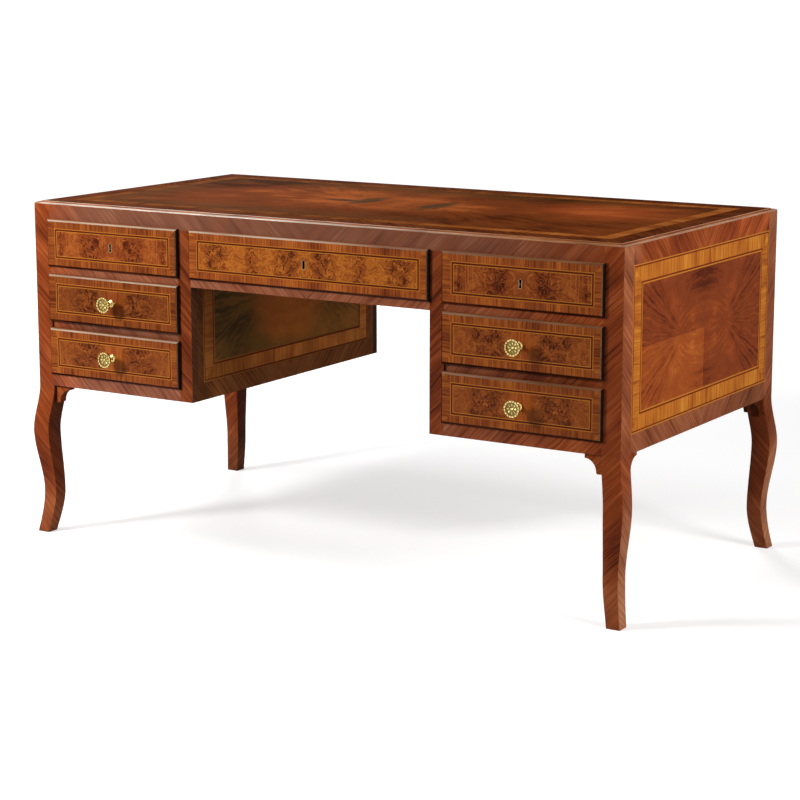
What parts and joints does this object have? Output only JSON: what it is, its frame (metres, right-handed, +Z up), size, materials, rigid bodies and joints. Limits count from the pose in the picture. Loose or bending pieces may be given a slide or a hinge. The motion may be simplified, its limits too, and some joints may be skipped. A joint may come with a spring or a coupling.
{
  "type": "writing desk",
  "caption": "Veneered pedestal writing desk on square cabriole legs, with lipped, banded drawers that slide out, lock bolts, brass knobs and a kneehole open from front to back.",
  "frame": {"origin": "on the floor under the middle of the box that the desk and its knobs fill", "axes": "+X to the right seen from the front, along the desk; +Y to the back; +Z up"},
  "size_m": [1.549, 0.8278, 0.79],
  "materials": {
    "kingwood_veneer": "high gloss varnish over diagonal kingwood veneer",
    "top_marquetry": "high gloss varnish over quarter-matched veneer with a light band",
    "panel_marquetry": "high gloss varnish over quarter-matched veneer with a light band",
    "front_marquetry": "high gloss varnish over burl walnut, stringing and crossbanding",
    "drawer_lining": "waxed solid wood",
    "inner_wood": "bare solid wood",
    "brass": "polished brass"
  },
  "bodies": {
    "carcase": {"back_apron": "kingwood_veneer", "back_panel_left": "kingwood_veneer", "back_panel_right": "kingwood_veneer", "bottom_board_left": "inner_wood", "bottom_board_right": "inner_wood", "bottom_rail_left": "kingwood_veneer", "bottom_rail_right": "kingwood_veneer", "center_rail": "kingwood_veneer", "drawer_runners": "inner_wood", "dust_board": "inner_wood", "frieze_rail": "kingwood_veneer", "inner_stile_left": "kingwood_veneer", "inner_stile_right": "kingwood_veneer", "kneehole_panel_left": "panel_marquetry", "kneehole_panel_right": "panel_marquetry", "leg_back_left": "kingwood_veneer", "leg_back_right": "kingwood_veneer", "leg_brackets": "kingwood_veneer", "leg_front_left": "kingwood_veneer", "leg_front_right": "kingwood_veneer", "lower_rail_left": "kingwood_veneer", "lower_rail_right": "kingwood_veneer", "side_panel_left": "panel_marquetry", "side_panel_right": "panel_marquetry", "top_board": "top_marquetry", "top_moulding": "kingwood_veneer", "upper_rail_left": "kingwood_veneer", "upper_rail_right": "kingwood_veneer"},
    "drawer_left_bottom": {"drawer_left_bottom_front": "front_marquetry", "drawer_left_bottom_box": "drawer_lining", "drawer_left_bottom_bottom": "drawer_lining", "knob_left_bottom": "brass"},
    "drawer_left_middle": {"drawer_left_middle_front": "front_marquetry", "drawer_left_middle_box": "drawer_lining", "drawer_left_middle_bottom": "drawer_lining", "knob_left_middle": "brass"},
    "drawer_left_top": {"drawer_left_top_front": "front_marquetry", "drawer_left_top_box": "drawer_lining", "drawer_left_top_bottom": "drawer_lining", "lock_left_top": "brass"},
    "lock_bolt_left_top": {"lock_bolt_left_top": "brass"},
    "drawer_right_bottom": {"drawer_right_bottom_front": "front_marquetry", "drawer_right_bottom_box": "drawer_lining", "drawer_right_bottom_bottom": "drawer_lining", "knob_right_bottom": "brass"},
    "drawer_right_middle": {"drawer_right_middle_front": "front_marquetry", "drawer_right_middle_box": "drawer_lining", "drawer_right_middle_bottom": "drawer_lining", "knob_right_middle": "brass"},
    "drawer_right_top": {"drawer_right_top_front": "front_marquetry", "drawer_right_top_box": "drawer_lining", "drawer_right_top_bottom": "drawer_lining", "lock_right_top": "brass"},
    "lock_bolt_right_top": {"lock_bolt_right_top": "brass"},
    "drawer_center": {"drawer_center_front": "front_marquetry", "drawer_center_box": "drawer_lining", "drawer_center_bottom": "drawer_lining", "lock_center": "brass"},
    "lock_bolt_center": {"lock_bolt_center": "brass"}
  },
  "joints": [
    {"name": "drawer_left_bottom_slide", "type": "slide", "parent": "carcase", "child": "drawer_left_bottom", "axis": [0, -1, 0], "range_m": [0, 0.45]},
    {"name": "drawer_left_middle_slide", "type": "slide", "parent": "carcase", "child": "drawer_left_middle", "axis": [0, -1, 0], "range_m": [0, 0.45]},
    {"name": "drawer_left_top_slide", "type": "slide", "parent": "carcase", "child": "drawer_left_top", "axis": [0, -1, 0], "range_m": [0, 0.45]},
    {"name": "lock_bolt_left_top_slide", "type": "slide", "parent": "drawer_left_top", "child": "lock_bolt_left_top", "axis": [0, 0, 1], "range_m": [0, 0.008]},
    {"name": "drawer_right_bottom_slide", "type": "slide", "parent": "carcase", "child": "drawer_right_bottom", "axis": [0, -1, 0], "range_m": [0, 0.45]},
    {"name": "drawer_right_middle_slide", "type": "slide", "parent": "carcase", "child": "drawer_right_middle", "axis": [0, -1, 0], "range_m": [0, 0.45]},
    {"name": "drawer_right_top_slide", "type": "slide", "parent": "carcase", "child": "drawer_right_top", "axis": [0, -1, 0], "range_m": [0, 0.45]},
    {"name": "lock_bolt_right_top_slide", "type": "slide", "parent": "drawer_right_top", "child": "lock_bolt_right_top", "axis": [0, 0, 1], "range_m": [0, 0.008]},
    {"name": "drawer_center_slide", "type": "slide", "parent": "carcase", "child": "drawer_center", "axis": [0, -1, 0], "range_m": [0, 0.45]},
    {"name": "lock_bolt_center_slide", "type": "slide", "parent": "drawer_center", "child": "lock_bolt_center", "axis": [0, 0, 1], "range_m": [0, 0.008]}
  ]
}
